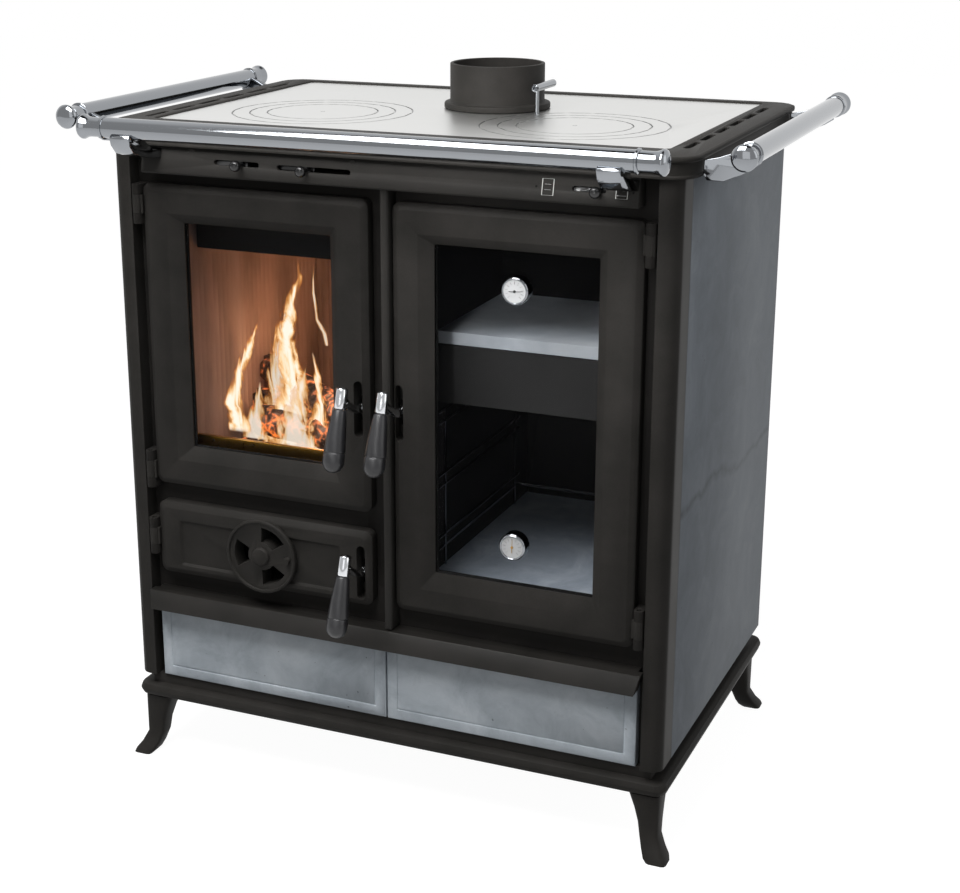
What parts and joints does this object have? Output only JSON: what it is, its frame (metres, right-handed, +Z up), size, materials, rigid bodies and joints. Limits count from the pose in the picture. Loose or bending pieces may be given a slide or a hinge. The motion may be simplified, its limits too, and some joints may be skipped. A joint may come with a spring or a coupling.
{
  "type": "wood cookstove",
  "caption": "Wood-burning cookstove on curved feet with a glazed firebox door, a tall glazed oven door, an ash door, a steel hob, a flue collar and towel rails.",
  "frame": {"origin": "on the floor, under the middle of the overall width and depth (the bounding box bottom centre)", "axes": "+Z up, +Y from the front with the doors to the back, +X to the right of a person facing the doors"},
  "size_m": [0.894, 0.5846, 0.9183],
  "materials": {
    "cast_black": "satin black-brown stove paint on cast iron",
    "cast_grey": "satin dark grey stove paint on cast iron",
    "soapstone": "honed blue-grey soapstone",
    "hob_steel": "fine satin steel",
    "chrome": "polished",
    "grip": "smooth black heat-resistant grip",
    "glass": "clear ceramic glass",
    "firebrick": "matte fire-clay lining",
    "brass": "heat-tinted brass",
    "wire": "bright plated wire",
    "sheet_steel": "dark heat-resistant paint on sheet steel"
  },
  "bodies": {
    "stove": {"base_plinth": "cast_black", "foot_front_left": "cast_black", "foot_rear_left": "cast_black", "foot_front_right": "cast_black", "foot_rear_right": "cast_black", "post_left": "cast_black", "side_stone_left": "soapstone", "post_right": "cast_black", "side_stone_right": "soapstone", "front_stone_left": "soapstone", "front_stone_right": "soapstone", "back_panel": "sheet_steel", "front_frame": "cast_black", "control_panel": "cast_grey", "trim_strip": "cast_grey", "hob_rim": "cast_black", "hotplate": "hob_steel", "flue_collar": "cast_black", "rail_front": "chrome", "rail_left": "chrome", "rail_right": "chrome", "bracket_front_left": "chrome", "bracket_left_front": "chrome", "bracket_left_rear": "chrome", "bracket_front_right": "chrome", "bracket_right_front": "chrome", "bracket_right_rear": "chrome", "firebox_shell": "sheet_steel", "grate": "cast_black", "lining_back": "firebrick", "lining_left": "firebrick", "lining_right": "firebrick", "baffle": "sheet_steel", "log_guard": "brass", "ash_drawer": "sheet_steel", "oven_liner": "sheet_steel", "oven_duct": "sheet_steel", "oven_shelf_stone": "soapstone", "oven_floor_stone": "soapstone", "oven_rack": "wire"},
    "fire_door_leaf": {"fire_door": "cast_black", "fire_glass": "glass", "fire_glass_clip": "sheet_steel"},
    "oven_door_leaf": {"oven_door": "cast_black", "oven_glass": "glass", "oven_glass_clip": "sheet_steel", "thermometer_upper": "chrome", "thermometer_lower": "chrome"},
    "ash_door_leaf": {"ash_door": "cast_black"},
    "air_register": {"air_wheel": "cast_grey"},
    "fire_latch": {"latch_lever_fire": "chrome", "latch_grip_fire": "grip"},
    "oven_latch": {"latch_lever_oven": "chrome", "latch_grip_oven": "grip"},
    "ash_latch": {"latch_lever_ash": "chrome", "latch_grip_ash": "grip"},
    "primary_air": {"air_slider_primary": "grip"},
    "secondary_air": {"air_slider_secondary": "grip"},
    "oven_damper": {"oven_selector": "grip"},
    "bypass": {"bypass_lever": "chrome"}
  },
  "joints": [
    {"name": "fire_door_hinge", "type": "hinge", "parent": "stove", "child": "fire_door_leaf", "pos_m": [-0.3325, -0.20774, 0.5925], "axis": [0, 0, -1], "range_deg": [0, 110]},
    {"name": "oven_door_hinge", "type": "hinge", "parent": "stove", "child": "oven_door_leaf", "pos_m": [0.3325, -0.20774, 0.5315], "axis": [0, 0, 1], "range_deg": [0, 110]},
    {"name": "ash_door_hinge", "type": "hinge", "parent": "stove", "child": "ash_door_leaf", "pos_m": [-0.3325, -0.20774, 0.3215], "axis": [0, 0, -1], "range_deg": [0, 100]},
    {"name": "air_register_turn", "type": "hinge", "parent": "ash_door_leaf", "child": "air_register", "pos_m": [-0.169, -0.21204, 0.319], "axis": [0, 1, 0], "range_deg": [0, 60]},
    {"name": "fire_latch_lift", "type": "hinge", "parent": "fire_door_leaf", "child": "fire_latch", "pos_m": [-0.03, -0.20074, 0.53], "axis": [-1, 0, 0], "range_deg": [0, 35]},
    {"name": "oven_latch_lift", "type": "hinge", "parent": "oven_door_leaf", "child": "oven_latch", "pos_m": [0.024, -0.20074, 0.531], "axis": [-1, 0, 0], "range_deg": [0, 35]},
    {"name": "ash_latch_lift", "type": "hinge", "parent": "ash_door_leaf", "child": "ash_latch", "pos_m": [-0.03, -0.20074, 0.316], "axis": [-1, 0, 0], "range_deg": [0, 35]},
    {"name": "primary_air_slide", "type": "slide", "parent": "stove", "child": "primary_air", "axis": [1, 0, 0], "range_m": [-0.034, 0.02]},
    {"name": "secondary_air_slide", "type": "slide", "parent": "stove", "child": "secondary_air", "axis": [1, 0, 0], "range_m": [-0.036, 0.054]},
    {"name": "oven_damper_slide", "type": "slide", "parent": "stove", "child": "oven_damper", "axis": [1, 0, 0], "range_m": [-0.028, 0.004]},
    {"name": "bypass_turn", "type": "hinge", "parent": "stove", "child": "bypass", "pos_m": [0.0915, 0.07226, 0.893], "axis": [0, 0, -1], "range_deg": [0, 90]}
  ]
}
